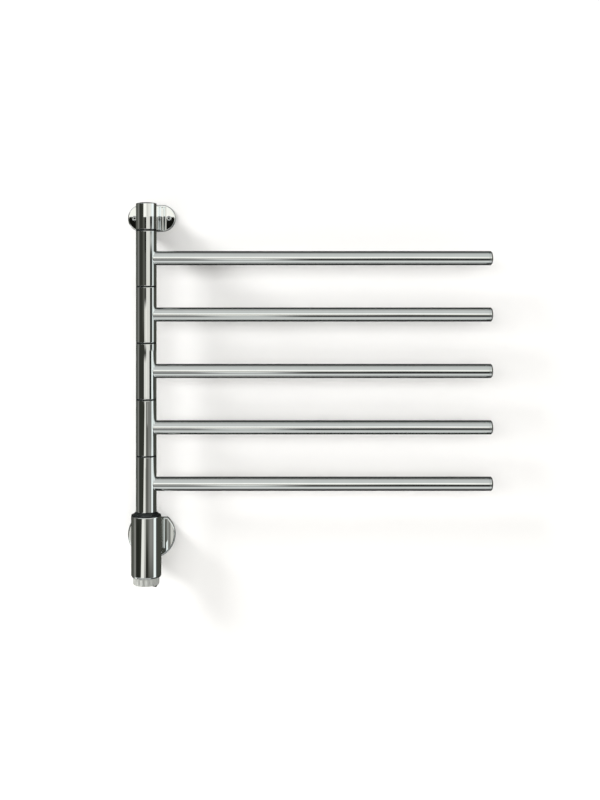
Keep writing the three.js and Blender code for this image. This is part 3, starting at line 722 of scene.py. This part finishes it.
def stage_plane(name, corners):
    piece = mesh_object(name, corners, [(0, 1, 2, 3)])
    made, tree, shader = material(name, STAGE_COLOUR, 0.0, 0.9)
    shader.inputs["Specular IOR Level"].default_value = 0.0
    piece.data.materials.append(made)
    piece.visible_glossy = False
    piece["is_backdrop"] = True
    return tree, shader


# The wall is clear from behind, so that it hides nothing there.
wall_tree, wall_shader = stage_plane("wall", [
    (-WIDE, 0, FLOOR_Z), (WIDE, 0, FLOOR_Z), (WIDE, 0, WALL_TOP), (-WIDE, 0, WALL_TOP)])
side = add(wall_tree, "ShaderNodeNewGeometry")
clear = add(wall_tree, "ShaderNodeBsdfTransparent")
pick = add(wall_tree, "ShaderNodeMixShader")
output = wall_tree.nodes["Material Output"]
wall_tree.links.new(side.outputs["Backfacing"], pick.inputs[0])
wall_tree.links.new(wall_shader.outputs[0], pick.inputs[1])
wall_tree.links.new(clear.outputs[0], pick.inputs[2])
wall_tree.links.new(pick.outputs[0], output.inputs["Surface"])
# The floor shows nearly white and still takes shadows.
floor_tree, floor_shader = stage_plane("floor", [
    (-WIDE, -WIDE, FLOOR_Z), (WIDE, -WIDE, FLOOR_Z), (WIDE, 0, FLOOR_Z), (-WIDE, 0, FLOOR_Z)])
seen = add(floor_tree, "ShaderNodeLightPath")
paler = add(floor_tree, "ShaderNodeMath", operation="MULTIPLY")
paler.inputs[1].default_value = FLOOR_GLOW
floor_tree.links.new(seen.outputs["Is Camera Ray"], paler.inputs[0])
floor_shader.inputs["Emission Color"].default_value = (1, 1, 1, 1)
floor_tree.links.new(paler.outputs[0], floor_shader.inputs["Emission Strength"])

# ---------------------------------------------------------------- studio
# The world is a ring of soft boxes and dark flags, each a patch of azimuth and elevation in degrees.
ROOM = 0.12                   # plain level of the room, for all but the camera and mirrors
SKY = 1.78                    # lower edge of the pale cards overhead
LEDGE = -3.68                 # lower edge of the belt at the right
BELT = -5.73                  # lower edge of the belt in front
world = bpy.data.worlds.new("studio")
scene.world = world
world.use_nodes = True
sky = world.node_tree
background = sky.nodes["Background"]
place = add(sky, "ShaderNodeTexCoord")
split = add(sky, "ShaderNodeSeparateXYZ")
sky.links.new(place.outputs["Generated"], split.inputs[0])


def sums(operation, first, second=None):
    node = add(sky, "ShaderNodeMath", operation=operation)
    for socket, value in zip(node.inputs, (first, second)):
        if value is None:
            continue
        if isinstance(value, (int, float)):
            socket.default_value = value
        else:
            sky.links.new(value, socket)
    return node.outputs[0]


toward = sums("MULTIPLY", split.outputs["Y"], -1.0)
azimuth = sums("MULTIPLY", sums("ARCTAN2", split.outputs["X"], toward), 180 / math.pi)
elevation = sums("MULTIPLY", sums("ARCSINE", split.outputs["Z"]), 180 / math.pi)
aside = sums("ABSOLUTE", split.outputs["X"])
pitch = sums("MULTIPLY", sums("ARCTAN2", split.outputs["Z"], toward), 180 / math.pi)


def step(value, at, soft):
    node = add(sky, "ShaderNodeMapRange", interpolation_type="SMOOTHSTEP")
    sky.links.new(value, node.inputs["Value"])
    node.inputs["From Min"].default_value = at - soft / 2
    node.inputs["From Max"].default_value = at + soft / 2
    return node.outputs["Result"]


def window(value, low, high, soft):
    mask = None
    if low is not None:
        mask = step(value, low, soft)
    if high is not None:
        over = sums("SUBTRACT", 1.0, step(value, high, soft))
        mask = over if mask is None else sums("MULTIPLY", mask, over)
    return mask


level = sums("ADD", 0.065, 0.0)


def patch(bright, sides=(None, None), heights=(None, None), soft=5.0, soft_height=1.0, lean=0.0,
          upright=None):
    """One card: bright where azimuth lies in sides and elevation in heights, over what is there.
    lean slides the card sideways, in degrees of azimuth for each degree of elevation. upright is
    a band of the pitch about the x axis, and fades out towards both ends of that axis."""
    global level
    across = azimuth
    if lean:
        across = sums("SUBTRACT", azimuth, sums("MULTIPLY", elevation, lean))
    masks = [window(across, *sides, soft), window(elevation, *heights, soft_height)]
    if upright:
        masks.append(window(pitch, *upright, soft_height))
        masks.append(window(aside, None, 0.5, 0.2))
    mask = None
    for m in masks:
        if m is not None:
            mask = m if mask is None else sums("MULTIPLY", mask, m)
    mix = add(sky, "ShaderNodeMix", data_type="FLOAT")
    sky.links.new(mask, mix.inputs[0])
    sky.links.new(level, mix.inputs[2])
    mix.inputs[3].default_value = bright
    level = mix.outputs[0]


# Belt round the horizon, from left to right.
patch(0.085, (-178, -105))
patch(0.20, (-104, -84), soft=8)
patch(0.15, (-88, -73), (-3.5, None))
patch(0.034, (-76, 6), soft=4)
patch(0.24, (-92, -81), (None, -10.4), soft=4)
patch(0.020, (-75, -46), (None, -10.4), soft=4)
patch(0.088, (-33, -10), (-2.8, None), soft=6)
patch(0.01, (-6, 6), (-1.8, None), soft=3)
patch(0.72, (6, 48.5), (BELT, None), soft=4, soft_height=0.2)
patch(0.84, (-14, 10), (-3.5, -1.8), soft=8, soft_height=0.6)
patch(0.84, (-18, 10), (BELT, -4.0), soft=8, soft_height=0.5)
# The bright card that leans outwards as it comes down.
patch(0.86, (8.4, 60), (None, BELT), soft=5, soft_height=0.1, lean=3.4)
patch(0.58, (-10, 60), (None, BELT), soft=5, soft_height=0.1)
patch(0.72, (-10, 60), (-8.4, BELT), soft=5, soft_height=0.1)
patch(0.37, (-2, 60), (None, -8.4), soft=4, soft_height=1)
patch(0.11, (3, 60), (None, BELT), soft=3, soft_height=0.1)
patch(0.30, (12, 46), (-6.7, BELT), soft=6, soft_height=0.3)
patch(0.030, (3, 22), (None, -11.3), soft=3, soft_height=2)
patch(0.20, (25, 64), (None, BELT), soft=12, soft_height=0.1)
patch(0.26, (37, 50), (None, -7.5), soft=8, soft_height=1)
patch(0.030, (48.5, 74), (LEDGE, None), soft=4, soft_height=0.1)
patch(0.016, (41.5, 62), (BELT, LEDGE), soft=4, soft_height=0.1)
patch(0.22, (62, 74), (BELT, LEDGE), soft=4, soft_height=0.1)
patch(0.48, (50, 74), (0.5, 1.2), soft=4, soft_height=0.7)
patch(0.45, (60, 70), (None, -7.7), soft=5, soft_height=1)
patch(1.0, (67.5, 86), (None, LEDGE), soft=5, soft_height=0.1)
patch(0.75, (75, 97), (LEDGE, None), soft=5, soft_height=0.1)
patch(0.055, (101, 146), soft=6)
patch(0.07, (148, 181), soft=6)
patch(0.35, (148, 181), (BELT, LEDGE), soft=6, soft_height=0.1)
patch(0.15, (148, 181), (None, BELT), soft=6)
# The dark flag that the wall plate shows below the edge of the sky.
patch(0.006, (-10.5, -0.5), (0.4, 1.75), soft=3, soft_height=0.1)
# Overhead.
patch(0.70, (0, 100), (SKY, None), soft=6, soft_height=0.03)
patch(0.84, (30, 100), (SKY, None), soft=6, soft_height=0.03)
patch(0.98, (-24.5, 8), (1.75, None), soft=4, soft_height=0.03)
patch(1.0, (69, 90), (SKY, None), soft=6, soft_height=0.03)
patch(0.57, (-95, 100), (21.7, None), soft=20, soft_height=8)
patch(1.0, (-62, -28), (15, 60), soft=8, soft_height=8)
patch(0.37, upright=(71.7, 95.7), heights=(21.7, None), soft_height=12)
patch(0.055, upright=(98.7, 140.7), heights=(17.7, None), soft_height=8)
patch(0.065, upright=(143.7, 185.7), heights=(17.7, None), soft_height=8)
# The dim strip that the arms show close to the post.
patch(0.20, (-7, -4.4), (-5.6, 0.3), soft=1, soft_height=0.4)
# The floor in front, with the dark band of its far edge.
patch(0.026, (-9, 60), (None, -12.5), soft=3, soft_height=3)
patch(0.62, (-4.4, -0.8), (-31.3, -9), soft=3, soft_height=5)
patch(0.25, (-12, -4.6), (-31.3, -13.5), soft=1, soft_height=4)
patch(0.22, (-60, 60), (None, -33), soft=3, soft_height=5)
patch(0.42, (-4.4, -0.8), (-47, -31.3), soft=3, soft_height=5)
patch(0.72, (-95, 95), (None, -47), soft=20, soft_height=6)
patch(0.40, upright=(-84, -67), heights=(None, -14.3), soft_height=8)
patch(0.06, upright=(-106.3, -86), heights=(None, -14.3), soft_height=8)
patch(0.03, upright=(-178, -101), heights=(None, -6.3), soft_height=8)
# Dark cards are a little green, pale ones cream, and those on the far right cool.
hue = add(sky, "ShaderNodeMix", data_type="RGBA")
sky.links.new(step(level, 0.1, 0.2), hue.inputs[0])
hue.inputs[6].default_value = (0.97, 1.03, 0.84, 1)
hue.inputs[7].default_value = (1.0, 1.0, 0.94, 1)
aloft = add(sky, "ShaderNodeMix", data_type="RGBA")
sky.links.new(step(sums("ABSOLUTE", elevation), 14, 6), aloft.inputs[0])
sky.links.new(hue.outputs[2], aloft.inputs[6])
aloft.inputs[7].default_value = (0.965, 1.0, 0.985, 1)
cool = add(sky, "ShaderNodeMix", data_type="RGBA")
sky.links.new(window(azimuth, 62, 100, 8), cool.inputs[0])
sky.links.new(aloft.outputs[2], cool.inputs[6])
cool.inputs[7].default_value = (0.93, 1.0, 0.99, 1)
shade = add(sky, "ShaderNodeVectorMath", operation="SCALE")
sky.links.new(cool.outputs[2], shade.inputs[0])
sky.links.new(level, shade.inputs["Scale"])
sky.links.new(shade.outputs[0], background.inputs["Color"])
# Metal and clear plastic show the cards; the room itself is plain, and white where the camera sees it.
path = add(sky, "ShaderNodeLightPath")
mirrored = sums("MAXIMUM", path.outputs["Is Glossy Ray"], path.outputs["Is Transmission Ray"])
plain = add(sky, "ShaderNodeBackground")
seen = sums("MULTIPLY", path.outputs["Is Camera Ray"], 1.0 - ROOM)
sky.links.new(sums("ADD", seen, ROOM), plain.inputs["Strength"])
plain.inputs["Color"].default_value = (1, 1, 1, 1)
either = add(sky, "ShaderNodeMixShader")
sky.links.new(mirrored, either.inputs[0])
sky.links.new(plain.outputs[0], either.inputs[1])
sky.links.new(background.outputs[0], either.inputs[2])
sky.links.new(either.outputs[0], sky.nodes["World Output"].inputs["Surface"])


# ---------------------------------------------------------------- lamps and camera
# Two soft lamps at the upper left, a wide strip in front, a little above, and a level fill in front.
AIM = Vector((0.2, -0.05, -0.3))
LAMP_DISTANCE = 12.0


def soft_lamp(name, way, width, height, power):
    lamp = bpy.data.lights.new(name, "AREA")
    lamp.shape = "RECTANGLE" if width != height else "DISK"
    lamp.size = width
    lamp.size_y = height
    lamp.energy = power
    made = bpy.data.objects.new(name, lamp)
    scene.collection.objects.link(made)
    way = Vector(way).normalized()
    made.location = AIM + way * LAMP_DISTANCE
    made.rotation_mode = "QUATERNION"
    made.rotation_quaternion = way.to_track_quat("Z", "Y")
    made.visible_glossy = False


soft_lamp("key", (-0.66, -0.51, 0.55), width=3.7, height=3.7, power=690)
soft_lamp("key_low", (-0.74, -0.30, 0.60), width=2.4, height=2.4, power=300)
soft_lamp("strip", (-0.06, -1.0, 0.17), width=12.0, height=3.12, power=615)
soft_lamp("front", (-0.05, -1.0, 0.02), width=6.0, height=2.0, power=175)

# Camera level with the top arm, straight in front of the wall.
lens = bpy.data.cameras.new("camera")
lens.lens = 63
lens.sensor_width = 36
lens.shift_y = -0.175
camera = bpy.data.objects.new("camera", lens)
camera.location = (0.2306, -2.182, -0.0647)
camera.rotation_euler = (math.pi / 2, 0, 0)
scene.collection.objects.link(camera)
scene.camera = camera
scene.view_settings.view_transform = "Standard"

low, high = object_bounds()
